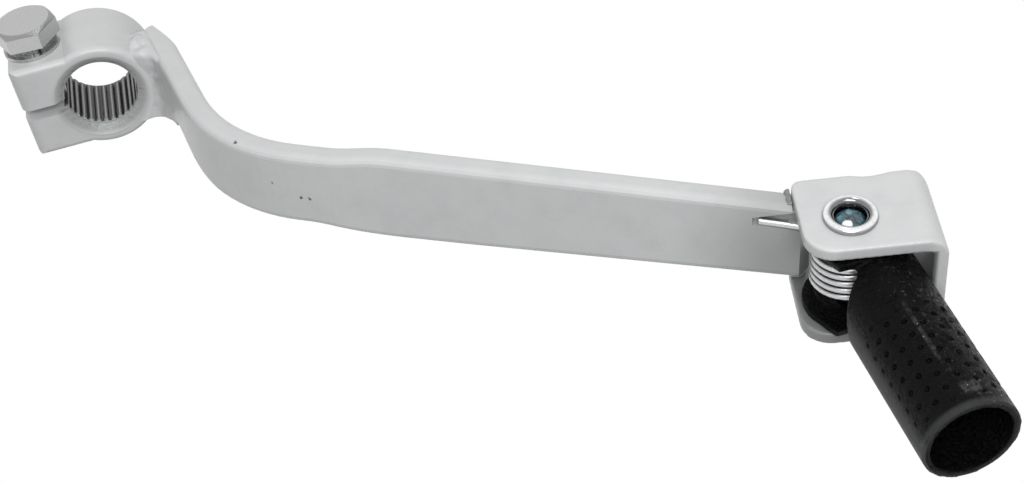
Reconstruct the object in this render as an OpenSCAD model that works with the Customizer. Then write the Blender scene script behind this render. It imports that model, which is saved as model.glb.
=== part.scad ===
/* [Hub] */
// Width of the hub along the splined bore
hub_w = 14.9; // [12:0.1:20]
// Outer radius of the round boss
hub_r = 10; // [9:0.1:12]
// Radius to the tips of the spline teeth
bore_r = 6.5; // [6:0.1:7]
// Depth of each groove between two teeth
groove_depth = 0.65; // [0.3:0.05:1]
// Number of spline teeth
tooth_count = 31; // [24:1:40]
// Radius of the chamfer at each mouth of the bore
mouth_r = 8.2; // [7.6:0.1:8.8]
// Height of the two clamp ears together
ear_h = 18.2; // [16:0.1:19.6]
// Reach of the clamp ears from the bore's axis
ear_reach = 14.3; // [13.6:0.1:18]
// Width of the clamp slit
slit_w = 2.2; // [1:0.1:3]
// Drop of the slit's middle below the bore's axis
slit_drop = 0.3; // [0:0.1:1]
// Turn of the hub about the bore, so that the ears sit a little low
hub_turn = 5; // [0:0.5:20]
// Rounding of the hub's rims
hub_round = 1.1; // [0.4:0.1:2]

/* [Clamp bolt] */
// Radius of the bolt's threaded shank
bolt_r = 2.9; // [2.4:0.05:3]
// Width across the flats of the hexagon head
hex_af = 10; // [8:0.5:11]
// Height of the hexagon head
hex_h = 3.5; // [3:0.1:5]
// Turn of the hexagon head about its axis
hex_turn = 55; // [0:1:60]
// Length of the bolt under its head
bolt_len = 20; // [16:1:20]
// Thickness of the flat washer
washer_t = 0.7; // [0.5:0.1:1.2]
// Outer radius of the flat washer
washer_r = 5.1; // [4.8:0.1:6]
// Thickness of the split spring washer
spring_washer_t = 1.5; // [0.8:0.05:1.6]

/* [Arm] */
// Thickness of the flat bar
bar_t = 4.4; // [4:0.1:5]
// Rounding of the bar's long edges
bar_round = 1.3; // [0.6:0.1:1.8]
// Height of the bar's top edge over the bore's axis, at the hub
bar_top = 7.5; // [6:0.1:8]
// Rise of the top edge at the joggle
bar_rise = 0.6; // [0:0.1:1.5]
// Plan offset from the boss' side to the bar's start, behind the hub's flank
bar_offset = [1.2, 1.5];
// Plan position of the corner that the big bend rounds off
bar_knee = [18.8, -38];
// Inside-to-middle radius of the big bend
bend_r = 30; // [20:1:45]
// Sideways step of the bar at the joggle
bar_step = 0.75; // [0:0.05:1.5]

/* [Clevis] */
// Position of the pivot axis on the clevis' top face
pivot = [109.4, -92.9, 9];
// Nose-down tilt of the clevis
clevis_tilt = 4.8; // [0:0.2:8]
// Turn of the clevis about the pivot, seen from above
clevis_turn = -9; // [-15:0.5:0]
// Thickness of the folded sheet
sheet_t = 2.2; // [1.8:0.1:2.6]
// Overall height of the clevis
clevis_h = 19.9; // [19.6:0.1:22]
// Distance from the pivot axis to the web's outer face
web_x = 13.5; // [13.5:0.1:15]
// Outer radius of the two folds
fold_r = 3.4; // [3:0.1:5]

/* [Toe peg] */
// Outer radius of the rolled tube
peg_r = 7.55; // [7:0.05:7.6]
// Wall of the rolled tube
peg_wall = 1.35; // [1:0.05:1.6]
// Reach of the tube from the pivot axis to its open end
peg_len = 38; // [30:0.5:60]
// Sideways offset of the tube from the pivot axis
peg_offset = 1.9; // [0:0.1:2]
// Angle of the peg at rest, against the web
peg_rest = 13; // [0:0.5:13]

/* [Pivot] */
// Outer radius of the pivot barrel
barrel_r = 3.4; // [3:0.05:3.8]
// Radius of the barrel's hollow
barrel_bore_r = 2.5; // [2:0.05:2.8]
// Radius of the spring wire
wire_r = 0.64; // [0.4:0.02:0.66]
// Mean radius of the spring coil
coil_r = 6.2; // [5.2:0.1:6.2]

/* [Hidden] */
$fn = 64;
eps = 0.01;
silver = [0.74, 0.75, 0.76];
steel = [0.62, 0.64, 0.66];
black = [0.05, 0.05, 0.055];
sealant = [0.08, 0.33, 0.4];

// Clearances
shank_gap = 0.05;
bolt_gap = 0.3;
pin_gap = 0.07;
side_gap = 0.15;

// Clamp bolt: its shank just clears the splined shaft
bolt_x = -(bore_r + bolt_r + 0.03);
hub_top = ear_h / 2;
head_z = hub_top + washer_t + spring_washer_t;
tip_w = 2 * PI * bore_r / tooth_count;
mouth_depth = 1.1;

// Arm: two straight runs joined by one arc, seen from above
bar_start = [hub_r + bar_offset.x, bar_offset.y];
run1 = bar_knee - bar_start;
run1_dir = run1 / norm(run1);
arm_foot = [1.9, 3.4];
arm_end = [pivot.x, pivot.y] + arm_foot;
run2 = arm_end - bar_knee;
run2_dir = run2 / norm(run2);
knee_turn = acos(run1_dir * run2_dir);
knee_cut = bend_r * tan(knee_turn / 2);
run1_len = norm(run1) - knee_cut;
arc_len = bend_r * knee_turn * PI / 180;
run2_len = norm(run2) - knee_cut - 2.5;
arm_len = run1_len + arc_len + run2_len;
joggle_at = run1_len + arc_len + 6;
joggle_len = 10;
bar_low_root = -3;
bar_low_bend = -6.3;
bar_low_mid = -7.9;
weld_room = 3.1;
bar_low_end = pivot.z - clevis_h + sheet_t + weld_room;
low_hold = 16;
tongue_len = 9;
arm_clear_r = 7.55;
fillet_low = -5.4;
fillet_top = 7.35;
bar_end_left = [hub_r - 1.4, -0.4];
bar_end_right = [hub_r + 1.2, 1];
bar_flank = [hub_r + 4.2, -5];

// Clevis outline in its own frame: the pivot axis at the origin, the top face at z = 0
plate_left = -7.5;
plate_back = 9.3;
plate_front = -6.8;
corner_r = 4.7;
scallop_r = 8;
ear_t = 1.4;
ear_r = 6.9;
tube_start = 6.95;
mid_z = -clevis_h / 2;
arm_bearing = atan2(-run2_dir.y, -run2_dir.x) - clevis_turn;
seat_r = 5.2;
seat_h = 2.2;

// Spring and its two legs
coil_top = -4.9;
coil_low = -12.3;
leg_side = 1.85;
leg_reach = 14;
leg_start_angle = arm_bearing - asin(leg_side / coil_r);
coil_sweep = leg_start_angle - peg_rest + 5 * 360;
wire_sides = 8;
turn_steps = 24;

function smooth(x, a, b) = let (t = min(1, max(0, (x - a) / (b - a)))) t * t * (3 - 2 * t);
function side_of(d) = [-d.y, d.x];

// Middle line of the arm at a distance s from its start: [position, direction]
function arm_at(s) =
    let (at = line_at(s),
         shift = -bar_step * smooth(s, run1_len, run1_len + arc_len)
             * (1 - smooth(s, joggle_at, joggle_at + joggle_len)))
    [at[0] + side_of(at[1]) * shift, at[1]];

function line_at(s) =
    s < run1_len ? [bar_start + run1_dir * s, run1_dir] :
    s < run1_len + arc_len ?
        let (a = (s - run1_len) / bend_r * 180 / PI,
             from = bar_start + run1_dir * run1_len,
             n = side_of(run1_dir))
        [from + run1_dir * (bend_r * sin(a)) + n * (bend_r * (1 - cos(a))),
         run1_dir * cos(a) + n * sin(a)] :
    [bar_knee + run2_dir * (knee_cut + s - run1_len - arc_len), run2_dir];

// Top and bottom edges of the bar along the arm
function arm_top_z(s) = bar_top + bar_rise * smooth(s, joggle_at, joggle_at + joggle_len);
function arm_low_z(s) = bar_low_root
    + (bar_low_bend - bar_low_root) * smooth(s, 16, 38)
    + (bar_low_mid - bar_low_bend) * smooth(s, joggle_at - 4, joggle_at + joggle_len)
    + (bar_low_end - bar_low_mid) * max(0, s - joggle_at - low_hold) / (arm_len - joggle_at - low_hold);

// Rounded rectangle: offsets across the bar and heights, listed once round
function bar_ring(half, low, top, r, steps = 4) = [
    for (corner = [0:3], i = [0:steps])
        let (a = corner * 90 + i * 90 / steps,
             cx = (corner == 0 || corner == 3) ? half - r : r - half,
             cz = corner < 2 ? top - r : low + r)
        [cx + r * cos(a), cz + r * sin(a)]];

// Skin over a list of rings that all have the same number of points
module skin(rings) {
    n = len(rings[0]);
    m = len(rings);
    points = [for (ring = rings, p = ring) p];
    sides = [for (j = [0:m - 2], i = [0:n - 1])
        let (a = j * n + i, b = j * n + (i + 1) % n)
        each [[a, b, a + n], [b, b + n, a + n]]];
    first = [for (i = [n - 1:-1:0]) i];
    last = [for (i = [0:n - 1]) (m - 1) * n + i];
    polyhedron(points, concat(sides, [first], [last]), convexity = 8);
}

module at_hub() {
    rotate([0, -hub_turn, 0]) children();
}

module at_clevis() {
    translate(pivot) rotate([clevis_tilt, 0, clevis_turn]) children();
}

module at_peg() {
    at_clevis() rotate([0, 0, peg_rest]) children();
}

// A bar along Y whose section in X and Z is drawn as a flat shape, centred on Y = 0
module along_y(width) {
    rotate([90, 0, 0]) translate([0, 0, -width / 2]) linear_extrude(width) children();
}

module rounded_slab(size, r) {
    translate([r, r]) circle(r);
    translate([size.x - r, r]) circle(r);
    translate([r, size.y - r]) circle(r);
    translate([size.x - r, size.y - r]) circle(r);
    translate([r, 0]) square([size.x - 2 * r, size.y]);
    translate([0, r]) square([size.x, size.y - 2 * r]);
}

module boss() {
    rotate([90, 0, 0]) rotate_extrude() union() {
        square_w = hub_w - 2 * hub_round;
        translate([0, -square_w / 2]) square([hub_r, square_w]);
        translate([0, -hub_w / 2]) square([hub_r - hub_round, hub_w]);
        for (side = [-1, 1]) translate([hub_r - hub_round, side * square_w / 2]) circle(hub_round, $fn = 32);
    }
}

module ears() {
    intersection() {
        along_y(hub_w) translate([-ear_reach, -hub_top]) rounded_slab([ear_reach + 3, ear_h], hub_round);
        translate([-ear_reach, 0, 0]) rotate([90, 0, 90]) linear_extrude(ear_reach + 3)
            translate([-hub_w / 2, -hub_top]) rounded_slab([hub_w, ear_h], hub_round);
        translate([0, 0, -hub_top]) linear_extrude(ear_h)
            translate([-ear_reach, -hub_w / 2]) rounded_slab([ear_reach + 6, hub_w], 2);
    }
}

module spline_bore() {
    lip = mouth_depth + 0.6;
    rotate([90, 0, 0]) translate([0, 0, -hub_w]) cylinder(r = bore_r, h = 2 * hub_w);
    translate([0, lip, 0]) along_y(hub_w) for (i = [0:tooth_count - 1]) rotate(i * 360 / tooth_count)
        polygon([[bore_r - 0.4, -tip_w * 0.29], [bore_r + groove_depth, -tip_w * 0.14],
                 [bore_r + groove_depth, tip_w * 0.14], [bore_r - 0.4, tip_w * 0.29]]);
}

// Hub: round boss and two clamp ears, one forging
module hub() {
    color(silver) at_hub() difference() {
        union() {
            boss();
            ears();
        }
        spline_bore();
        rotate([90, 0, 0]) translate([0, 0, hub_w / 2 - mouth_depth])
            cylinder(r1 = bore_r, r2 = mouth_r + 0.02, h = mouth_depth + eps);
        rotate([-90, 0, 0]) translate([0, 0, hub_w / 2 - mouth_depth])
            cylinder(r = bore_r + groove_depth + 0.05, h = mouth_depth + 1);
        translate([-ear_reach - 1, -hub_w, -slit_drop - slit_w / 2])
            cube([ear_reach + 1, 2 * hub_w, slit_w]);
        translate([bolt_x, 0, 0]) cylinder(r = bolt_r + bolt_gap, h = hub_top + 1);
        translate([bolt_x, 0, -hub_top - 1]) cylinder(r = bolt_r + shank_gap, h = hub_top + 2);
    }
}

// Arm: flat bar on edge, bent in plan, coped round the boss and round the pivot
module arm() {
    stations = concat([for (i = [0:6]) i * run1_len / 6],
                      [for (i = [1:16]) run1_len + i * arc_len / 16],
                      [for (i = [1:10]) run1_len + arc_len + i * 1.8],
                      [for (i = [1:5]) run1_len + arc_len + 18 + i * (run2_len - 18 - tongue_len) / 5],
                      [for (i = [1:4]) arm_len - tongue_len + i * 0.7],
                      [arm_len]);
    rings = [for (s = stations)
        let (at = arm_at(s), across = side_of(at[1]),
             ring = bar_ring(bar_t / 2, arm_low_z(s), arm_top_z(s), bar_round))
        [for (q = ring) [at[0].x + across.x * q.x, at[0].y + across.y * q.x, q.y]]];
    color(silver) difference() {
        skin(rings);
        at_hub() rotate([90, 0, 0]) translate([0, 0, -hub_w / 2]) cylinder(r = hub_r, h = hub_w);
        at_clevis() translate([0, 0, -clevis_h - 4]) cylinder(r = arm_clear_r, h = clevis_h + 8);
        at_clevis() leg_groove();
        at_clevis() translate([plate_left - 0.3, -20, -sheet_t]) cube([40, 40, sheet_t + 4]);
        beside(bar_end_right, bar_end_left);
        beside(bar_flank, bar_end_right);
    }
}

// Everything to the right of a line seen from above, walking from one point to the other
module beside(from, to) {
    d = to - from;
    translate([from.x, from.y, -15]) rotate([0, 0, atan2(d.y, d.x)]) translate([-3, -8, 0])
        cube([norm(d) + 6, 8, 30]);
}

// Shallow groove in the bar's front face, which holds the spring's leg and widens towards the clevis
module leg_groove() {
    room = wire_r + 0.1;
    rotate([0, 0, arm_bearing]) translate([4, -leg_side - room, coil_top - room]) {
        cube([11, 6, 2 * room]);
        translate([11, 0, 2 * room]) rotate([0, 17, 0]) translate([-13, 0, -1.6]) cube([12.6, 6, 1.6]);
    }
}

// A row of overlapping drops of weld metal along a line of points
module weld_row(points, r) {
    for (i = [0:len(points) - 1])
        translate(points[i]) sphere(r * (1 + 0.16 * sin(i * 137)), $fn = 24);
}

function between(a, b, n) = [for (i = [0:n]) a + (b - a) * i / n];

// The hub's envelope, a hair oversize, to cut weld metal back to the hub's surface
module hub_cut() {
    slack = 0.02;
    at_hub() rotate([90, 0, 0]) translate([0, 0, -hub_w / 2 - slack])
        cylinder(r = hub_r + slack, h = hub_w + 2 * slack);
}

// The straight stretch of the bar by the hub, a hair oversize
module bar_cut() {
    slack = 0.02;
    low = bar_low_root - slack;
    translate(bar_start) rotate([0, 0, atan2(run1_dir.y, run1_dir.x)]) rotate([90, 0, 90])
        linear_extrude(run1_len) translate([-bar_t / 2 - slack, low])
            rounded_slab([bar_t + 2 * slack, bar_top + slack - low], bar_round);
}

// Uneven weld where the bar's end meets the boss
module hub_weld_top() {
    color(silver) difference() {
        weld_row(between([hub_r - 2.9, -1.6, hub_r - 3.2], [hub_r - 2.3, -5.7, hub_r - 3.6], 4), 1.5);
        hub_cut();
        bar_cut();
        fillet_solid();
        translate([hub_r - 1.52, -20, 4]) cube([10, 30, 10]);
    }
}

// Solid of the front weld before it is cut back to the hub and the bar
module fillet_solid() {
    slope = 34;
    difference() {
        translate([hub_r, -hub_w / 2, fillet_low]) linear_extrude(fillet_top - fillet_low)
            polygon([[-2.8, 1], [-2.8, -0.1], [-1.7, -0.65], [-1.1, -1.35], [-0.1, -3.75], [1, -6.15],
                     [2.4, -8.45], [3.4, -8.45], [1, 5.45], [-1.3, 5.45], [-1.5, 1]]);
        translate([hub_r - 0.4, -20, fillet_low]) rotate([0, -slope, 0]) translate([-2, 0, -8]) cube([14, 20, 8]);
    }
}

// Front weld: a hollow fillet from the hub's front face over to the bar, flush with the bar's top
module hub_weld_front() {
    color(silver) difference() {
        fillet_solid();
        hub_cut();
        bar_cut();
    }
}

// Weld bead up the bar's end, behind the boss
module hub_weld_back() {
    color(silver) difference() {
        weld_row(between([hub_r + 0.6, 1.6, -1.4], [hub_r, 1.9, 3.4], 4), 1.5);
        hub_cut();
        bar_cut();
        translate([0, -10, -10]) cube([20, 10, 20]);
    }
}

module clevis_plan() {
    front_at = plate_front + corner_r;
    back_r = 1.6;
    difference() {
        union() {
            translate([plate_left + corner_r, front_at]) circle(corner_r);
            translate([plate_left + back_r, plate_back - back_r]) circle(back_r, $fn = 32);
            translate([plate_left, front_at]) square([web_x, plate_back - back_r - front_at]);
            translate([plate_left + back_r, 0]) square([web_x, plate_back]);
            translate([plate_left + corner_r, plate_front])
                square([web_x + 1 - plate_left - corner_r, plate_back - 2.2 - plate_front]);
            polygon([[0, 0], [web_x + 1, 0], [web_x + 1, plate_back - 2.2], [web_x - 1.2, plate_back], [0, plate_back]]);
        }
        translate([4.6, plate_back - 0.55 + scallop_r]) circle(scallop_r);
    }
}

// Section of the folded sheet: two plates and the web, with round folds
module clevis_section(inset) {
    span = 30;
    translate([web_x - inset - span, inset - clevis_h])
        rounded_slab([span, clevis_h - 2 * inset], fold_r - inset);
}

// Clevis: one folded sheet
module clevis() {
    color(silver) at_clevis() difference() {
        intersection() {
            along_y(40) clevis_section(0);
            translate([0, 0, -clevis_h - 1]) linear_extrude(clevis_h + 2) clevis_plan();
        }
        along_y(42) clevis_section(sheet_t);
        translate([0, 0, -clevis_h - 1]) cylinder(r = barrel_r + shank_gap, h = clevis_h + 2);
    }
}

// Small weld on the bar's top, against the edge of the top plate
module clevis_weld_top() {
    color(silver) difference() {
        at_clevis() weld_row(between([plate_left - 0.4, plate_back - 3.4, -1.6],
                                     [plate_left - 0.4, plate_back - 0.9, -1.6], 3), 0.75);
        at_clevis() translate([plate_left - 0.01, -20, -10]) cube([20, 40, 20]);
        translate([80, -120, bar_top + bar_rise + 0.02 - 20]) cube([40, 60, 20]);
    }
}

// Weld between the bar's lower edge and the lower plate
module clevis_weld_bottom() {
    floor_z = sheet_t - clevis_h;
    color(silver) difference() {
        at_clevis() weld_row(between([plate_left + 0.6, plate_back - 1.2, floor_z + 1.1],
                                     [plate_left + 1.1, plate_back - 2.4, floor_z + 1.1], 2), 1.5);
        at_clevis() translate([-20, -20, floor_z + 0.01 - 10]) cube([40, 40, 10]);
        translate([80, -120, bar_low_end - 0.3]) cube([40, 60, 20]);
    }
}

// Clamp bolt: hexagon head with a chamfered top, and a plain shank for its thread
module clamp_bolt() {
    head_r = hex_af / 2 / cos(30);
    color(steel) at_hub() translate([bolt_x, 0, head_z]) {
        intersection() {
            rotate(hex_turn) cylinder(r = head_r, h = hex_h, $fn = 6);
            union() {
                cylinder(r = head_r + 1, h = hex_h - 0.75);
                translate([0, 0, hex_h - 0.75 - eps])
                    cylinder(r1 = head_r + 0.05, r2 = hex_af / 2 - 0.28, h = 0.75 + eps);
            }
        }
        translate([0, 0, -bolt_len]) cylinder(r = bolt_r, h = bolt_len + 1);
    }
}

module spring_washer() {
    color(steel) at_hub() translate([bolt_x, 0, hub_top + washer_t]) difference() {
        cylinder(r = 4.65, h = spring_washer_t);
        translate([0, 0, -1]) cylinder(r = bolt_r + 0.2, h = spring_washer_t + 2);
        rotate(-70) translate([0, -0.3, -1]) cube([8, 0.6, spring_washer_t + 2]);
    }
}

module flat_washer() {
    color(steel) at_hub() translate([bolt_x, 0, hub_top]) difference() {
        cylinder(r = washer_r, h = washer_t);
        translate([0, 0, -1]) cylinder(r = bolt_r + bolt_gap, h = washer_t + 2);
    }
}

module tube_y(r, from, to) {
    translate([peg_offset, -from, mid_z]) rotate([90, 0, 0]) cylinder(r = r, h = to - from);
}

// Toe peg: rolled tube whose end is cut and pressed into two ears and a cheek
module toe_peg() {
    top_z = -sheet_t - side_gap;
    low_z = sheet_t - clevis_h + side_gap;
    window_len = 12.5;
    color(black) at_peg() difference() {
        union() {
            tube_y(peg_r, tube_start, peg_len);
            intersection() {
                for (z = [low_z, top_z - ear_t]) translate([0, 0, z]) linear_extrude(ear_t) {
                    circle(ear_r);
                    polygon([[-ear_r * 0.93, -ear_r * 0.36], [-3, -tube_start - 4], [6.6, -tube_start - 4],
                             [ear_r * 0.93, -ear_r * 0.36]]);
                }
                union() {
                    translate([-20, -tube_start - eps, -40]) cube([40, 40, 40]);
                    tube_y(peg_r, tube_start - 1, tube_start + 6);
                }
            }
            translate([0, 0, low_z]) cylinder(r = seat_r, h = ear_t + seat_h);
            intersection() {
                tube_y(peg_r, 1, tube_start + 1);
                translate([peg_offset + 3, -tube_start - 1, low_z]) cube([10, tube_start + 1, top_z - low_z]);
            }
        }
        tube_y(peg_r - peg_wall, tube_start + 3.5, peg_len + 1);
        intersection() {
            tube_y(peg_r - peg_wall, -10, tube_start + 4);
            translate([-20, -40, low_z + ear_t]) cube([40, 60, top_z - low_z - 2 * ear_t]);
        }
        difference() {
            union() {
                rotate([90, 0, -90]) translate([0, 0, 3 - peg_offset]) linear_extrude(20)
                    polygon([[-30, low_z + ear_t], [window_len, low_z + ear_t], [window_len, mid_z],
                             [window_len - 2.5, mid_z + 3.7], [tube_start + 1, top_z - ear_t], [-30, top_z - ear_t]]);
                translate([0, 0, low_z + ear_t]) cylinder(r = coil_r + 0.95, h = top_z - low_z - 2 * ear_t);
            }
            translate([0, 0, low_z]) cylinder(r = seat_r, h = ear_t + seat_h);
        }
        translate([0, 0, -clevis_h]) cylinder(r = barrel_r + pin_gap, h = clevis_h);
    }
}

// Return spring: one wire, from the leg in the bar's groove down the coil to the leg in the peg
module return_spring() {
    u = [cos(arm_bearing), sin(arm_bearing)];
    v = [sin(arm_bearing), -cos(arm_bearing)];
    steps = round(coil_sweep / 360 * turn_steps);
    foot = sqrt(coil_r * coil_r - leg_side * leg_side);
    leg1 = [for (d = [leg_reach, 10.5, foot + 0.9])
        [u.x * d + v.x * leg_side, u.y * d + v.y * leg_side, coil_top]];
    coil = [for (i = [0:steps])
        let (a = leg_start_angle - coil_sweep * i / steps)
        [coil_r * cos(a), coil_r * sin(a), coil_top + (coil_low - coil_top) * i / steps]];
    leg2 = [for (d = [3, 9, 16])
        let (x = coil_r + 0.25) [x * cos(peg_rest) + d * sin(peg_rest), x * sin(peg_rest) - d * cos(peg_rest), coil_low]];
    path = concat(leg1, coil, leg2);
    last = len(path) - 1;
    rings = [for (i = [0:last])
        let (t = path[min(last, i + 1)] - path[max(0, i - 1)],
             dir = t / norm(t),
             side = [dir.y, -dir.x, 0] / norm([dir.x, dir.y]),
             up = cross(side, dir))
        [for (k = [0:wire_sides - 1])
            let (a = k * 360 / wire_sides) path[i] + side * (wire_r * cos(a)) + up * (wire_r * sin(a))]];
    color(steel) at_clevis() skin(rings);
}

// Pivot barrel: steel tube with a rolled rim on the top plate
module pivot_barrel() {
    rim_r = 0.78;
    color(steel) at_clevis() rotate_extrude() union() {
        translate([barrel_bore_r, -clevis_h]) square([barrel_r - barrel_bore_r, clevis_h + 0.4]);
        intersection() {
            translate([barrel_r, 0.32]) circle(rim_r, $fn = 32);
            translate([barrel_bore_r, 0]) square([4, 4]);
        }
    }
}

// Pivot screw: enters from below, its round head under the bottom plate
module pivot_screw() {
    head_r = 4.5;
    head_h = 2.3;
    socket_af = 3;
    color(steel) at_clevis() difference() {
        union() {
            translate([0, 0, -clevis_h - eps]) cylinder(r = barrel_bore_r - shank_gap, h = clevis_h - 1.8);
            intersection() {
                translate([0, 0, -clevis_h - head_h]) cylinder(r = head_r, h = head_h);
                translate([0, 0, -clevis_h + 3.2]) sphere(5.55);
            }
        }
        translate([0, 0, -clevis_h - head_h - 1]) cylinder(r = socket_af / 2 / cos(30), h = 2.4, $fn = 6);
    }
}

// Drop of set thread-lock on the screw's end, inside the barrel's mouth
module thread_lock() {
    color(sealant) at_clevis() intersection() {
        translate([0, 0, -1.8]) cylinder(r = barrel_bore_r - 0.02, h = 2);
        translate([0, 0, -6.3]) sphere(5.6);
    }
}

hub();
arm();
hub_weld_top();
hub_weld_front();
hub_weld_back();
clevis();
clevis_weld_top();
clevis_weld_bottom();
clamp_bolt();
spring_washer();
flat_washer();
toe_peg();
return_spring();
pivot_barrel();
pivot_screw();
thread_lock();
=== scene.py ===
import math
import bmesh
import bpy
from mathutils import Matrix, Vector, noise


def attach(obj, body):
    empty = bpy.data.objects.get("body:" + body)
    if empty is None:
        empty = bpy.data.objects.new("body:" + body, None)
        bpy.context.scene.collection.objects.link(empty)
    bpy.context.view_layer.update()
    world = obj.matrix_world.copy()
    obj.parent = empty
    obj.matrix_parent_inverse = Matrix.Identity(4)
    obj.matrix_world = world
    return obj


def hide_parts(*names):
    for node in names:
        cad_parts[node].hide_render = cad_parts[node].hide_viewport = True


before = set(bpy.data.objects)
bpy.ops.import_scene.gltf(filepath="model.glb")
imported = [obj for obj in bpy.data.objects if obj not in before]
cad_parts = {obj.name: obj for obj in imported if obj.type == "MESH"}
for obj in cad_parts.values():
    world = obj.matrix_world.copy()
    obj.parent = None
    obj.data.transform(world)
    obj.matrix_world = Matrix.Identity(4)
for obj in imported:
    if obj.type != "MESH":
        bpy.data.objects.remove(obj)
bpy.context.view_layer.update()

# Lengths are in mm and turns in degrees; MM turns them to the metres of the scene
MM = 0.001

# Places, turns and sizes of the part that the looks follow
PIVOT = Vector((109.4, -92.9, 9.0))
CLEVIS_TILT = 4.8
CLEVIS_TURN = -9.0
PEG_REST = 13.0
PEG_R = 7.55
PEG_OFFSET = 1.9
CLEVIS_H = 19.9
HUB_TURN = 5.0
HUB_W = 14.9
ARM_END = Vector((106.0, -88.0, -3.0))
BOLT_TOP = Vector((-10.68, 0.0, 13.92))
TEETH = 31
TOOTH_TIP_R = 6.5
BORE_MOUTH_R = 7.2
SHEET_T = 2.2

# Small chips in the arm's paint: place and radius
CHIPS = (
    ((17.0, -34.4, 7.4), 0.45),
    ((22.1, -40.4, 7.4), 0.3),
    ((26.6, -45.8, 1.5), 0.25),
    ((30.9, -48.2, -0.8), 0.25),
    ((32.2, -48.9, -0.8), 0.25),
)

# Drop of thread-lock in the barrel's mouth, and the painted glare near its lower edge
DROP_R = 2.45
DROP_H = 1.1
DROP_Z = -0.75
GLARE_AT = Vector((-0.75, -1.5, 0.0))

# Rows of dimples pressed in the toe peg: where they start and end, along and round the tube
ROW_TURN = 18.0
DIMPLE_PITCH = 2.65
DIMPLE_R = 0.47
DIMPLE_DEPTH = 0.26
ROWS_NEAR = 17.5
ROWS_FAR = 35.5
ROWS_LEFT = -70.0
ROWS_RIGHT = 84.0

# Dent on top of the toe peg near its root, and how deep its coat wrinkles
DENT_ALONG = 14.0
DENT_ANGLE = -18.0
DENT_DEPTH = 0.35
WRINKLE_DEPTH = 0.24

# Edges that run together: piece, grid, passes of smoothing, and swell of the skin.
# The peg's skin is drawn in a little, so that the folded tube clears the bar.
MELTED = (
    ("hub_weld_back", 0.16, 16, 0.1),
    ("clevis_weld_bottom", 0.16, 16, 0.1),
    ("clevis_weld_top", 0.12, 14, -0.15),
    ("clevis", 0.22, 16, 0.05),
)
PEG_GRID = 0.235
PEG_PASSES = 5
PEG_SWELL = -0.07

# Return spring: wire, coil and the leg in the bar's groove
WIRE_R = 0.64
COIL_R = 5.3
COIL_TOP = -4.9
COIL_LOW = -12.3
COIL_TURNS = 5
LEG_SIDE = 1.85
LEG_REACH = 14.0
BAR_BEARING = 159.9
COIL_START = BAR_BEARING - math.degrees(math.asin(LEG_SIDE / COIL_R))
COIL_SWEEP = COIL_START - PEG_REST + COIL_TURNS * 360

# Bar's front face beside the hub: a point on it and its way, seen from above
BAR_FACE = Vector((9.45, 1.084, 0.0))
BAR_WAY = Vector((0.189, -0.982, 0.0))

# Hollow weld: its way round the boss from the top, its radius there, and its way down the bar
WELD_TURN = 47
WELD_SWEEP = 102
WELD_RIM = 9.7
WELD_HIGH = 7.1
WELD_DROP = 11.5
WELD_WALL = 0.5
RIPPLE = 0.09

# Colours of the finishes, and of the painted shade, sheen and highlights on some of them
SILVER = (0.65, 0.658, 0.662, 1)
SILVER_DULL = (0.555, 0.567, 0.573, 1)
SILVER_STAINED = (0.33, 0.33, 0.335, 1)
# Painted shade: dark greys for the hub's mouth rim, the arm's end, the clevis's inner faces and a weld's
# corner
SILVER_RIM_SHADE = (0.29, 0.295, 0.295, 1)
SILVER_SHADED_END = (0.25, 0.255, 0.255, 1)
SILVER_INNER_SHADE = (0.16, 0.165, 0.165, 1)
SILVER_CORNER_SHADE = (0.12, 0.122, 0.122, 1)
CHIP = (0.07, 0.068, 0.065, 1)
OILY_STEEL = (0.012, 0.012, 0.012, 1)
PALE_STEEL = (0.5, 0.5, 0.49, 1)
ZINC = (0.54, 0.545, 0.545, 1)
ZINC_DULL = (0.43, 0.435, 0.43, 1)
ZINC_CHAMFER_SHADE = (0.14, 0.14, 0.14, 1)
WASHER = (0.3, 0.3, 0.3, 1)
WASHER_OIL_SHADE = (0.05, 0.05, 0.05, 1)
WIRE = (0.66, 0.67, 0.68, 1)
WIRE_DULL = (0.42, 0.42, 0.43, 1)
WIRE_GAP_SHADE = (0.03, 0.03, 0.03, 1)
CHROME = (0.9, 0.91, 0.92, 1)
CHROME_WORN = (0.7, 0.71, 0.72, 1)
CHROME_SHADE = (0.1, 0.1, 0.1, 1)
DROP_BLUE = (0.07, 0.3, 0.4, 1)
DROP_DEEP = (0.004, 0.03, 0.045, 1)
DROP_CRACK = (0.004, 0.015, 0.02, 1)
DROP_GLARE = (0.95, 0.97, 0.97, 1)
COAT_BLACK = (0.0015, 0.0015, 0.0018, 1)
COAT_GREY = (0.068, 0.07, 0.07, 1)

# Camera: place, and the picture's right and down in the part's frame
LENS = 68.29
SENSOR = 36
CAMERA_AT = Vector((27.23, -307.38, 191.01))
RIGHT = Vector((0.97356, -0.21160, -0.08610))
DOWN = Vector((-0.19877, -0.59887, -0.77578))

# Lamps, in metres and watts: place, aim, size and power
LAMPS = (
    ("lamp above", (0.12, 0.0, 0.45), (0.1, -0.09, 0), (0.05, 0.04), 0.09),
    ("softbox front", (0.0, -0.42, 0.32), (0.05, -0.05, 0), (0.32, 0.2), 1.33),
    ("strip right", (0.14, -0.36, 0.31), (0.11, -0.1, 0), (0.16, 0.02), 0.16),
)


def turned(*turns):
    """Rotation made of (degrees, axis) turns, the first one applied last."""
    m = Matrix.Identity(3)
    for degrees, axis in turns:
        m = m @ Matrix.Rotation(math.radians(degrees), 3, axis)
    return m


CLEVIS_AXES = turned((CLEVIS_TURN, "Z"), (CLEVIS_TILT, "X"))
HUB_AXES = turned((-HUB_TURN, "Y"))
PEG_AXES = CLEVIS_AXES @ turned((PEG_REST, "Z"))


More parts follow.
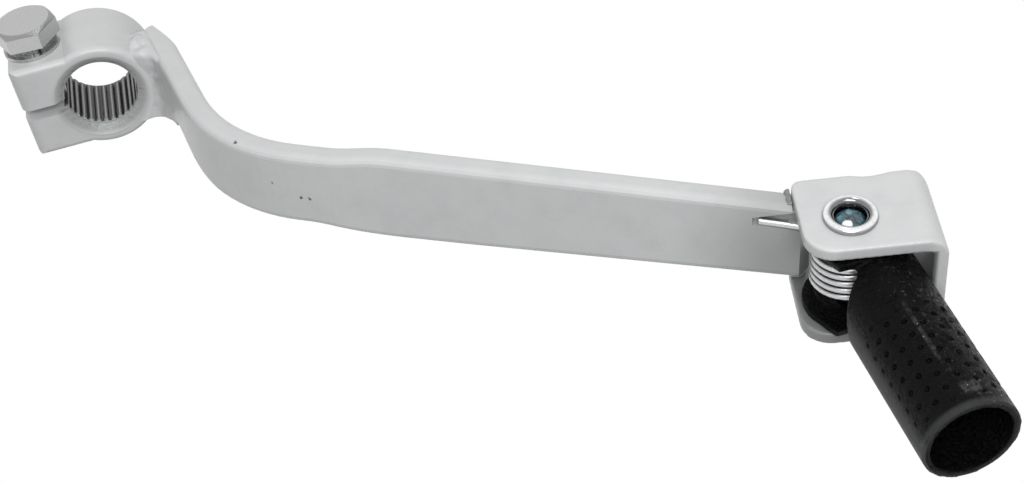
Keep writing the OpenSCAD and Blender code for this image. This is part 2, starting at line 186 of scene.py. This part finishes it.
class Val:
    """A shader socket with overloaded arithmetic."""

    def __init__(self, tree, socket):
        self.tree = tree
        self.socket = socket

    def node(self, kind, inputs, out=0, **settings):
        """A new node of a kind, its settings first, then the values or links of its sockets."""
        n = self.tree.nodes.new(kind)
        for name, value in settings.items():
            setattr(n, name, value)
        for key, value in inputs.items():
            if isinstance(value, Val):
                self.tree.links.new(value.socket, n.inputs[key])
            else:
                n.inputs[key].default_value = value
        return Val(self.tree, n.outputs[out])

    def math(self, op, *args):
        return self.node("ShaderNodeMath", dict(enumerate((self,) + args)), operation=op)

    def __add__(self, o):
        return self.math("ADD", o)

    def __sub__(self, o):
        return self.math("SUBTRACT", o)

    def __mul__(self, o):
        return self.math("MULTIPLY", o)

    def __truediv__(self, o):
        return self.math("DIVIDE", o)

    def __rsub__(self, o):
        return self * -1.0 + o

    __radd__ = __add__
    __rmul__ = __mul__

    def step(self, low, high):
        """0 below low, 1 above high, smooth between."""
        return self.node("ShaderNodeMapRange", {0: self, 1: low, 2: high, 3: 0.0, 4: 1.0},
                         interpolation_type="SMOOTHSTEP")

    def between(self, low, high, soft):
        """1 from low to high, 0 outside, smooth over soft on both sides of each."""
        return self.step(low - soft, low + soft) * (1.0 - self.step(high - soft, high + soft))

    def dot(self, vector):
        return self.node("ShaderNodeVectorMath", {0: self, 1: vector}, out=1, operation="DOT_PRODUCT")

    def minus(self, vector):
        return self.node("ShaderNodeVectorMath", {0: self, 1: vector}, operation="SUBTRACT")

    def length(self):
        return self.node("ShaderNodeVectorMath", {0: self}, out=1, operation="LENGTH")

    def noise(self, scale, detail=3.0, rough=0.55, warp=0.0):
        return self.node("ShaderNodeTexNoise", {"Vector": self, "Scale": scale, "Detail": detail,
                                                "Roughness": rough, "Distortion": warp})

    def cells(self, scale, feature):
        inputs = {"Vector": self, "Scale": scale}
        return self.node("ShaderNodeTexVoronoi", inputs, out="Distance", feature=feature)

    def mix(self, a, b):
        """Colour a where this is 0, colour b where it is 1."""
        return self.node("ShaderNodeMix", {0: self, 6: a, 7: b}, out=2, data_type="RGBA")

    def toward(self, colour, share):
        """This colour, moved by a fixed share toward another."""
        return self.node("ShaderNodeMix", {0: share, 6: self, 7: colour}, out=2, data_type="RGBA")


def finish(name, colour, roughness, metallic=0.0, coat=0.0):
    """A named finish; gives its shader and the place in mm."""
    mat = bpy.data.materials.new(name)
    mat.use_nodes = True
    tree = mat.node_tree
    shader = tree.nodes["Principled BSDF"]
    shader.inputs["Base Color"].default_value = (*colour, 1)
    shader.inputs["Roughness"].default_value = roughness
    shader.inputs["Metallic"].default_value = metallic
    shader.inputs["Coat Weight"].default_value = coat
    coords = tree.nodes.new("ShaderNodeTexCoord")
    place = Val(tree, coords.outputs["Object"])
    place = place.node("ShaderNodeVectorMath", {0: place, "Scale": 1000.0}, operation="SCALE")
    return mat, tree, shader, place


def drive(tree, shader, name, value):
    """Let a value that changes over the surface feed one socket of the shader."""
    tree.links.new(value.socket, shader.inputs[name])


def bump(tree, shader, height, strength=1.0):
    """Raise the surface by a height in mm."""
    n = tree.nodes.new("ShaderNodeBump")
    n.inputs["Distance"].default_value = MM
    n.inputs["Strength"].default_value = strength
    tree.links.new(height.socket, n.inputs["Height"])
    tree.links.new(n.outputs["Normal"], shader.inputs["Normal"])


def local(place, origin, axes):
    """Coordinates along a turned part's own axes."""
    p = place.minus(origin)
    return [p.dot(axes.col[i]) for i in range(3)]


def paint_layers(name):
    """Satin silver-grey powder coat, with its place, colour and height for the paints made of it."""
    mat, tree, shader, place = finish(name, (0.62, 0.63, 0.635), 0.42, coat=0.25)
    shader.inputs["Coat Roughness"].default_value = 0.18
    grain = place.noise(9.0, 4.0, 0.6)
    cloud = place.noise(0.22, 3.0, 0.6)
    tone = (grain.between(0.35, 0.7, 0.12) * 0.3 + cloud * 0.7).step(0.2, 0.8)
    base = tone.mix(SILVER_DULL, SILVER)
    drive(tree, shader, "Roughness", grain * 0.16 + 0.3)
    height = grain * 0.02 + place.noise(2.2, 2.0) * 0.04
    return mat, tree, shader, place, base, height


def weld_paint(name, painted_shade):
    """Silver paint over the lumps and stains of a weld; the second argument is the share by which painted
    shade darkens its colour toward a dark corner grey.
    """
    mat, tree, shader, place, colour, height = paint_layers(name)
    stain = place.noise(0.45, 4.0, 0.7).step(0.48, 0.78)
    colour = (stain * 0.45).mix(colour, SILVER_STAINED)
    # Painted shade: the colour is darkened toward a dark grey by the given share
    drive(tree, shader, "Base Color", colour.toward(SILVER_CORNER_SHADE, painted_shade))
    bump(tree, shader, height + place.noise(0.5, 2.0, 0.5, 0.4) * 0.25, 0.7)
    return mat


def chipped_paint():
    """Silver paint of the arm, with dark chips, and painted shade darkening its end near the clevis."""
    mat, tree, shader, place, colour, height = paint_layers("silver paint with chips")
    ragged = place.noise(2.2, 3.0, 0.7) * 1.2
    chips = None
    for centre, radius in CHIPS:
        chip = 1.0 - (place.minus(centre).length() + ragged).step(radius + 0.5, radius + 0.75)
        chips = chip if chips is None else chips.math("MAXIMUM", chip)
    # Painted shade: the arm's end under the clevis is darkened toward a dark grey
    painted_shade = (1.0 - place.minus(ARM_END).length().step(5.0, 24.0)) * 0.75
    colour = painted_shade.mix(colour, SILVER_SHADED_END)
    drive(tree, shader, "Base Color", chips.mix(colour, CHIP))
    bump(tree, shader, height - chips * 0.1, 0.7)
    return mat


def clevis_paint():
    """Silver paint, with painted shade on the inner faces and on the lower plate."""
    mat, tree, shader, place, colour, height = paint_layers("silver paint on the clevis")
    across, _, up = local(place, PIVOT, CLEVIS_AXES)
    lower_plate = SHEET_T - CLEVIS_H
    # Painted shade inside the fold of the clevis and on its lower plate
    inner = up.between(lower_plate - 0.1, -SHEET_T + 0.1, 0.1) * (1.0 - across.step(11.5, 12.2))
    low = (1.0 - up.step(lower_plate, lower_plate + 0.4)) * (1.0 - across.step(8.0, 13.0)) * 0.8
    shade = (inner * 0.92).math("MAXIMUM", low)
    drive(tree, shader, "Base Color", shade.mix(colour, SILVER_INNER_SHADE))
    bump(tree, shader, height, 0.7)
    return mat


def bored_paint():
    """Silver paint outside, with painted shade on the rim of the front mouth; oily bare steel in the
    splines, with overspray at the mouth.
    """
    mat, tree, shader, place, colour, height = paint_layers("silver paint over a bare bore")
    y = place.dot((0, 1, 0))
    flat = place.node("ShaderNodeVectorMath", {0: place, 1: (1.0, 0.0, 1.0)}, operation="MULTIPLY")
    radius = flat.length()
    edge = place.noise(1.3, 4.0, 0.65) * 2.2
    inside = (1.0 - radius.step(BORE_MOUTH_R + 0.05, BORE_MOUTH_R + 0.25)) * (y + edge).step(-4.6, -3.4)
    turn = place.dot((0, 0, 1)).math("ARCTAN2", place.dot((1, 0, 0))) * (180 / math.pi) - HUB_TURN
    tooth = (turn * (TEETH / 360) + TEETH).math("FRACT") - 0.5
    crest = 1.0 - radius.step(TOOTH_TIP_R + 0.02, TOOTH_TIP_R + 0.16)
    crest = crest * (1.0 - tooth.math("ABSOLUTE").step(0.04, 0.14))
    grime = place.noise(3.0, 4.0, 0.7)
    # The tooth crests, and random patches, are paler steel
    bare = (crest * 0.9 + grime * grime * 0.3).mix(OILY_STEEL, PALE_STEEL)
    # Painted shade on the rim round the bore's front mouth
    rim = (1.0 - radius.step(7.3, 8.9)) * (1.0 - y.step(-6.5, -5.5)) * 0.8
    colour = rim.mix(colour, SILVER_RIM_SHADE)
    drive(tree, shader, "Base Color", inside.mix(colour, bare))
    cast_skin = (1.0 - inside) * (1.0 - radius.step(7.0, 8.3)) * place.noise(1.1, 3.0) * 0.5
    bump(tree, shader, height + cast_skin, 0.7)
    return mat


def plated_steel():
    """Zinc plated steel of the bolt, the flat washer and the pivot screw, with painted shade on the bolt
    head's chamfer.
    """
    mat, tree, shader, place = finish("zinc plated steel", (0.7, 0.7, 0.69), 0.3, metallic=0.9)
    streaks = place.node("ShaderNodeMapping", {"Vector": place, "Scale": (6.0, 6.0, 0.7)}).noise(1.4, 4.0)
    grain = place.noise(11.0, 3.0, 0.7)
    x, y, z = local(place, BOLT_TOP, HUB_AXES)
    # Painted shade: the chamfer ring round the top of the bolt head is darkened
    chamfer = z.step(-0.75, -0.68) * (x * x + y * y).math("SQRT").step(4.66, 4.76)
    bright = grain.step(0.3, 0.7).mix(ZINC, ZINC_DULL)
    drive(tree, shader, "Base Color", (chamfer * 0.5).mix(bright, ZINC_CHAMFER_SHADE))
    drive(tree, shader, "Roughness", streaks * 0.15 + grain * 0.15 + 0.14)
    bump(tree, shader, streaks * 0.02 + grain * 0.03, 0.7)
    return mat


def dull_steel():
    """Steel of the spring washer, painted dark for the shade in the gap under the bolt head, with darker
    oily patches.
    """
    mat, tree, shader, place = finish("oiled steel in painted shade", (0.16, 0.16, 0.16), 0.35, metallic=0.9)
    grain = place.noise(3.0, 4.0)
    # Painted shade: the washer is kept dark for the gap under the bolt head; random oily patches darken
    # it further
    drive(tree, shader, "Base Color", grain.step(0.3, 0.75).mix(WASHER, WASHER_OIL_SHADE))
    drive(tree, shader, "Roughness", grain * 0.3 + 0.2)
    bump(tree, shader, grain * 0.03, 0.6)
    return mat


def spring_steel():
    """Bright wire of the return spring, with painted shade in the gaps between the turns of its coil."""
    mat, tree, shader, place = finish("drawn spring wire", (0.3, 0.31, 0.32), 0.35, metallic=1.0)
    drawn = place.noise(7.0, 4.0)
    x, y, z = local(place, PIVOT, CLEVIS_AXES)
    turns = y.math("ARCTAN2", x) * (0.5 / math.pi)
    climbed = (COIL_TOP - z) * (COIL_SWEEP / 360 / (COIL_TOP - COIL_LOW))
    phase = climbed + turns + (0.5 - COIL_START / 360 + 8)
    # Painted shade: the wire is darkened between the turns of the coil
    gap = 1.0 - (phase.math("FRACT") - 0.5).math("ABSOLUTE").step(0.2, 0.42)
    coiled = 1.0 - (x * x + y * y).math("SQRT").step(COIL_R + 1.0, COIL_R + 1.4)
    bright = drawn.step(0.3, 0.75).mix(WIRE, WIRE_DULL)
    lit = gap.math("MAXIMUM", 1.0 - coiled)
    drive(tree, shader, "Base Color", lit.mix(WIRE_GAP_SHADE, bright))
    drive(tree, shader, "Roughness", drawn * 0.25 + 0.2)
    bump(tree, shader, drawn * 0.008, 0.5)
    return mat


def chrome():
    """Polished rim of the pivot barrel, with painted shade on its inner slope and at its foot."""
    mat, tree, shader, place = finish("polished chrome", (0.82, 0.83, 0.84), 0.12, metallic=1.0)
    x, y, _ = local(place, PIVOT, CLEVIS_AXES)
    radius = (x * x + y * y).math("SQRT")
    wear = place.noise(1.5, 4.0)
    # Painted shade on the inner slope of the rim and at its foot on the plate
    slope = 1.0 - radius.step(2.95, 3.6)
    foot = radius.step(3.9, 4.12)
    bright = wear.step(0.45, 0.8).mix(CHROME, CHROME_WORN)
    shade = (slope * 0.85 + foot * 0.7).math("MINIMUM", 1.0)
    drive(tree, shader, "Base Color", shade.mix(bright, CHROME_SHADE))
    drive(tree, shader, "Roughness", wear * 0.12 + 0.05)
    bump(tree, shader, wear * 0.015, 0.5)
    return mat


def thread_lock():
    """Glassy blue drop with dark cracks crossing in the middle, lighter facets as painted highlights,
    painted shade toward its edge and a painted white glare.
    """
    mat, tree, shader, place = finish("set thread lock", (0.03, 0.2, 0.25), 0.1, coat=0.8)
    x, y, _ = local(place, PIVOT, CLEVIS_AXES)
    bent = place.noise(0.8, 2.0) * 1.2 - 0.6
    long_crack = (x * 0.8 + y * 0.6 + bent).math("ABSOLUTE")
    cross_crack = (y * 0.8 - x * 0.6 - bent).math("ABSOLUTE")
    cross = long_crack.math("MINIMUM", cross_crack)
    facets = place.cells(0.6, "F1")
    veins = place.cells(0.6, "DISTANCE_TO_EDGE")
    dark = (1.0 - cross.step(0.06, 0.3)).math("MAXIMUM", 0.6 - veins.step(0.02, 0.1) * 0.6)
    # Painted highlights and shade: facet cells are lighter blue toward their middles, and the drop is
    # darker toward the barrel's wall
    rim = (x * x + y * y).math("SQRT").step(1.7, 2.5)
    base = (facets.step(0.1, 0.55) * 0.8 + rim * 0.6).math("MINIMUM", 1.0)
    base = dark.mix(base.mix(DROP_BLUE, DROP_DEEP), DROP_CRACK)
    # Painted highlight: a white glare on the drop near its lower edge
    glare = 1.0 - place.minus(CLEVIS_AXES @ GLARE_AT + PIVOT).length().step(0.6, 0.95)
    drive(tree, shader, "Base Color", glare.mix(base, DROP_GLARE))
    drive(tree, shader, "Roughness", facets * 0.15 + 0.05)
    bump(tree, shader, facets * 0.12 - dark * 0.05, 0.8)
    return mat


def black_coat():
    """Black coating of the toe peg: pressed dimples, a painted sheen on the grey left side, a grey rim,
    worn glints.
    """
    mat, tree, shader, place = finish("black coating", (0.006, 0.006, 0.007), 0.3)
    shader.inputs["Specular IOR Level"].default_value = 0.07
    x, y, z = local(place, PIVOT, PEG_AXES)
    along = y * -1.0
    side = x - PEG_OFFSET
    up = z + CLEVIS_H / 2
    angle = side.math("ARCTAN2", up) * (180 / math.pi)
    row = (angle / ROW_TURN).math("ROUND")
    odd = row.math("ABSOLUTE").math("MODULO", 2.0)
    across = (angle - row * ROW_TURN) * (math.pi / 180 * PEG_R)
    shifted = along / DIMPLE_PITCH - odd * 0.5
    down = (shifted - shifted.math("ROUND")) * DIMPLE_PITCH
    off_centre = (across * across + down * down).math("SQRT")
    field = along.between(ROWS_NEAR, ROWS_FAR, 0.25) * angle.between(ROWS_LEFT, ROWS_RIGHT, 3.0)
    radius = (side * side + up * up).math("SQRT")
    skin = radius.step(PEG_R - 0.6, PEG_R - 0.4)
    dimple = (1.0 - off_centre.step(0.2, DIMPLE_R)) * field * skin
    wrinkle = place.noise(1.3, 5.0, 0.65, 0.8)
    # Painted sheen: the lower left side of the tube is painted grey where light falls on it
    left_sheen = angle.between(-125.0, -78.0, 11.0) * along.step(9.0, 14.0)
    rim = along.step(36.4, 37.4) * 0.6
    dust = place.noise(12.0, 3.0).step(0.62, 0.8)
    # Grey of dust, the painted sheen and the rim, kept out of the dimples as painted shade in their pits
    grey = (dust * 0.1 + left_sheen * 0.9 + rim).math("MINIMUM", 1.0) * (1.0 - dimple * 0.9) * skin
    drive(tree, shader, "Base Color", grey.mix(COAT_BLACK, COAT_GREY))
    drive(tree, shader, "Roughness", wrinkle * 0.3 + 0.12 + left_sheen * 0.2)
    sparse = place.noise(0.5, 3.0, 0.7, 0.4).step(0.42, 0.66)
    glints = place.noise(1.5, 3.0, 0.6).step(0.56, 0.68) * angle.between(-14.0, 120.0, 8.0) * sparse
    streak = angle.between(-9.5, -5.0, 1.2) * along.between(17.0, 28.5, 1.5)
    worn = angle.between(-4.0, 16.0, 3.0) * along.between(33.6, 35.4, 0.5)
    glints = glints + (streak + worn * 2.0) * place.noise(1.3, 3.0, 0.6).step(0.3, 0.7)
    glints = glints.math("MINIMUM", 1.0) * skin
    drive(tree, shader, "Coat Weight", glints)
    calm = (left_sheen + angle.between(-60.0, 5.0, 8.0) * 0.6).math("MINIMUM", 1.0)
    height = wrinkle * (0.7 - calm * 0.62) + place.noise(6.0) * 0.03 - dimple * 0.2
    bump(tree, shader, height, 1.0)
    return mat


def dress():
    """Give every piece of the part its finish."""
    steel = plated_steel()
    weld = weld_paint("silver paint over weld", 0.0)
    finishes = {
        "hub": bored_paint(),
        "arm": chipped_paint(),
        "hub_weld_top": weld,
        "hub_weld_front": weld,
        "hub_weld_back": weld,
        "clevis": clevis_paint(),
        # The top weld at the clevis sits in a recess; its darkness is painted shade
        "clevis_weld_top": weld_paint("painted shade in the corner", 0.8),
        "clevis_weld_bottom": weld,
        "toe_peg": black_coat(),
        "return_spring": spring_steel(),
        "pivot_barrel": chrome(),
        "thread_lock": thread_lock(),
        "spring_washer": dull_steel(),
    }
    for name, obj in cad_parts.items():
        obj.data.materials.clear()
        obj.data.materials.append(finishes.get(name, steel))
    for name, grid, passes, swell in MELTED:
        melt(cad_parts[name], grid, passes, swell)
    made = ((dimpled_peg(), ["toe_peg"], "peg", "black_coat"),
            (wound_spring(), ["return_spring"], "lever", "spring_steel"),
            (weld_fillet(), ["hub_weld_front", "hub_weld_top"], "lever", "silver_paint"),
            (set_drop(), ["thread_lock"], "lever", "thread_lock"))
    for obj, nodes, body, slot in made:
        obj.data.materials.clear()
        obj.data.materials.append(finishes[nodes[0]])
        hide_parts(*nodes)
        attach(obj, body)


def piece(name, data):
    """A named object in the scene, at the origin."""
    obj = bpy.data.objects.new(name, data)
    bpy.context.scene.collection.objects.link(obj)
    return obj


def from_bmesh(name, bm):
    """A smooth-shaded object made of a bmesh."""
    mesh = bpy.data.meshes.new(name)
    bm.to_mesh(mesh)
    bm.free()
    mesh.shade_smooth()
    return piece(name, mesh)


def dimple_depth(along, angle):
    """Depth in mm of the pressed dimples at a place on the tube's skin."""
    if not ROWS_NEAR - 0.3 < along < ROWS_FAR + 0.3:
        return 0.0
    if not ROWS_LEFT - 2 < angle < ROWS_RIGHT + 2:
        return 0.0
    row = round(angle / ROW_TURN)
    across = math.radians(angle - row * ROW_TURN) * PEG_R
    shifted = along / DIMPLE_PITCH - (row % 2) * 0.5
    down = (shifted - round(shifted)) * DIMPLE_PITCH
    off = math.hypot(across, down) / DIMPLE_R
    return DIMPLE_DEPTH * (1 - off * off) if off < 1 else 0.0


def coat_depth(q, along, angle):
    """How far in mm the skin is pressed in at a place: dimples, the dent and the wrinkled coat."""
    dent = math.hypot(along - DENT_ALONG, (angle - DENT_ANGLE) * 0.13) / 1.7
    depth = dimple_depth(along, angle) + DENT_DEPTH * max(0.0, 1 - dent * dent)
    wrinkled = min(1.0, max(0.0, (angle + 60) / 40)) * (-72 < angle < 150)
    wrinkled *= min(1.0, max(0.0, (ROWS_FAR - along) / 2))
    waves = noise.noise(q * 0.9) + 0.2 * noise.noise(q * 2.3)
    return depth + WRINKLE_DEPTH * wrinkled * max(0.0, waves)


def dimpled_peg():
    """Toe peg as one even skin, with its dimples, its dent and its uneven coating."""
    bm = bmesh.new()
    bm.from_mesh(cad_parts["toe_peg"].data)
    bmesh.ops.remove_doubles(bm, verts=bm.verts, dist=1e-6)
    obj = from_bmesh("coated_toe_peg", bm)
    melt(obj, PEG_GRID, PEG_PASSES, PEG_SWELL)
    bpy.context.view_layer.update()
    melted = obj.evaluated_get(bpy.context.evaluated_depsgraph_get())
    mesh = bpy.data.meshes.new_from_object(melted)
    obj.modifiers.clear()
    obj.data = mesh
    axes = PEG_AXES.transposed()
    for v in mesh.vertices:
        q = axes @ (v.co / MM - PIVOT)
        side, up, along = q.x - PEG_OFFSET, q.z + CLEVIS_H / 2, -q.y
        radius = math.hypot(side, up)
        if radius < PEG_R - 0.45:
            continue
        angle = math.degrees(math.atan2(side, up))
        press = coat_depth(q, along, angle)
        q.x -= side / radius * press
        q.z -= up / radius * press
        v.co = (PEG_AXES @ q + PIVOT) * MM
    mesh.shade_smooth()
    return obj


def wound_spring():
    """Return spring: one round wire along the leg, the coil and the second leg."""
    bearing = math.radians(BAR_BEARING)
    u = Vector((math.cos(bearing), math.sin(bearing), 0))
    v = Vector((math.sin(bearing), -math.cos(bearing), 0))
    foot = math.sqrt(COIL_R ** 2 - LEG_SIDE ** 2)
    steps = round(COIL_SWEEP / 10)
    points = [u * d + v * LEG_SIDE + Vector((0, 0, COIL_TOP)) for d in (LEG_REACH, 12, 10, 8, foot + 0.5)]
    for i in range(steps + 1):
        a = math.radians(COIL_START - COIL_SWEEP * i / steps)
        drop = (COIL_LOW - COIL_TOP) * i / steps
        points.append(Vector((COIL_R * math.cos(a), COIL_R * math.sin(a), COIL_TOP + drop)))
    rest = turned((PEG_REST, "Z"))
    for d in (3, 9, 15):
        points.append(rest @ Vector((COIL_R + 0.2, -d, COIL_LOW)))
    curve = bpy.data.curves.new("wound_return_spring", "CURVE")
    curve.dimensions = "3D"
    curve.bevel_depth = WIRE_R * MM
    curve.bevel_resolution = 4
    curve.use_fill_caps = True
    wire = curve.splines.new("POLY")
    wire.points.add(len(points) - 1)
    for knot, point in zip(wire.points, points):
        knot.co = (*((CLEVIS_AXES @ point + PIVOT) * MM), 1)
    return piece("wound_return_spring", curve)


def set_drop():
    """Drop of set thread-lock that fills the barrel's mouth, with small shrink marks."""
    bm = bmesh.new()
    bmesh.ops.create_uvsphere(bm, u_segments=56, v_segments=28, radius=1.0)
    for vert in bm.verts:
        q = Vector((vert.co.x * DROP_R, vert.co.y * DROP_R, vert.co.z * DROP_H))
        q.z += DROP_Z + 0.12 * noise.noise(q * 1.3) * (vert.co.z > 0)
        vert.co = (CLEVIS_AXES @ q + PIVOT) * MM
    return from_bmesh("set_drop", bm)


def ease(x, low, high):
    """0 below low, 1 above high, smooth between."""
    x = min(1.0, max(0.0, (x - low) / (high - low)))
    return x * x * (3 - 2 * x)


def weld_fillet():
    """Hollow weld from the hub's front face over to the bar, with the ripples of the torch."""
    bm = bmesh.new()
    bmesh.ops.create_grid(bm, x_segments=56, y_segments=48, size=0.5)
    for vert in bm.verts:
        u, t = vert.co.x + 0.5, vert.co.y + 0.5
        front = ease(t, 0.25, 0.45)
        down = max(0.0, t - 0.33) / 0.67
        turn = math.radians(WELD_TURN - WELD_SWEEP * down)
        rim = WELD_RIM - 0.6 * front
        forward = 0.4 - (HUB_W / 2 + 0.1) * ease(t, -0.1, 0.42)
        on_hub = Vector((rim * math.cos(turn), forward, rim * math.sin(turn)))
        reach = 0.8 + 10.7 * min(1.0, t / 0.36) + 4.5 * down
        on_bar = BAR_FACE + BAR_WAY * reach + Vector((0, 0, WELD_HIGH - WELD_DROP * down))
        saddle = (on_hub + on_bar) / 2 + Vector((0, 0, 0.3))
        valley = Vector((10.9, -HUB_W / 2 - 0.5, (on_hub.z + on_bar.z) / 2 + down))
        corner = saddle.lerp(valley, front)
        p = on_hub * (1 - u) ** 2 + corner * 2 * u * (1 - u) + on_bar * u * u
        middle = 4 * u * (1 - u)
        ripple = math.sin(30 * (t + 0.25 * u) + 3 * noise.noise(p * 0.3)) * RIPPLE * front
        lumps = noise.noise(p * 0.5) * (0.35 + 0.75 * (1 - front))
        out = Vector((-0.2, -0.3, 0.9)).lerp(Vector((-0.6, -0.7, 0.1)), front)
        p += out * (middle * (ripple + lumps))
        vert.co = p * MM
    bmesh.ops.recalc_face_normals(bm, faces=bm.faces)
    obj = from_bmesh("hollow_hub_weld", bm)
    wall = obj.modifiers.new("weld metal", "SOLIDIFY")
    wall.thickness = WELD_WALL * MM
    wall.offset = 0.0
    return obj


def melt(obj, grid, passes, swell):
    """Run the edges together, as poured weld metal or a thick coat of paint does."""
    cast = obj.modifiers.new("poured", "REMESH")
    cast.mode = "VOXEL"
    cast.voxel_size = grid * MM
    cast.use_smooth_shade = True
    flow = obj.modifiers.new("flowed", "SMOOTH")
    flow.factor = 0.5
    flow.iterations = passes
    coat = obj.modifiers.new("coated", "DISPLACE")
    coat.strength = swell * MM
    coat.mid_level = 0.0


def camera():
    """Camera at the place from which the photo was taken."""
    data = bpy.data.cameras.new("camera")
    data.sensor_width = SENSOR
    data.lens = LENS
    data.clip_start = 0.01
    data.clip_end = 10
    obj = bpy.data.objects.new("camera", data)
    turn = Matrix((RIGHT, -DOWN, -RIGHT.cross(DOWN))).transposed()
    obj.matrix_world = Matrix.Translation(CAMERA_AT * MM) @ turn.to_4x4()
    bpy.context.scene.collection.objects.link(obj)
    bpy.context.scene.camera = obj


def lamp(name, place, aim, size, power):
    """White area lamp at a place, turned to its aim."""
    data = bpy.data.lights.new(name, "AREA")
    data.shape = "RECTANGLE"
    data.size, data.size_y = size
    data.energy = power
    obj = bpy.data.objects.new(name, data)
    obj.location = place
    obj.rotation_euler = (Vector(aim) - Vector(place)).to_track_quat("-Z", "Y").to_euler()
    bpy.context.scene.collection.objects.link(obj)


def studio():
    """White surroundings for the camera, soft light from above for the part."""
    world = bpy.data.worlds.new("studio")
    world.use_nodes = True
    bpy.context.scene.world = world
    tree = world.node_tree
    back = tree.nodes["Background"]
    coords = tree.nodes.new("ShaderNodeTexCoord")
    way = Val(tree, coords.outputs["Generated"])
    height = way.dot((0, 0, 1))
    glow = (height * 0.42 + 0.24).math("MAXIMUM", 0.05)
    path = tree.nodes.new("ShaderNodeLightPath")
    seen = Val(tree, path.outputs["Is Camera Ray"])
    mirrored = Val(tree, path.outputs["Is Glossy Ray"])
    through = Val(tree, path.outputs["Is Transmission Ray"])
    white = mirrored.math("MAXIMUM", seen.math("MAXIMUM", through))
    strength = glow * (1.0 - white) + white
    tree.links.new(strength.socket, back.inputs["Strength"])
    back.inputs["Color"].default_value = (1, 1, 1, 1)
    for row in LAMPS:
        lamp(*row)
    bpy.context.scene.view_settings.view_transform = "Standard"


dress()
camera()
studio()
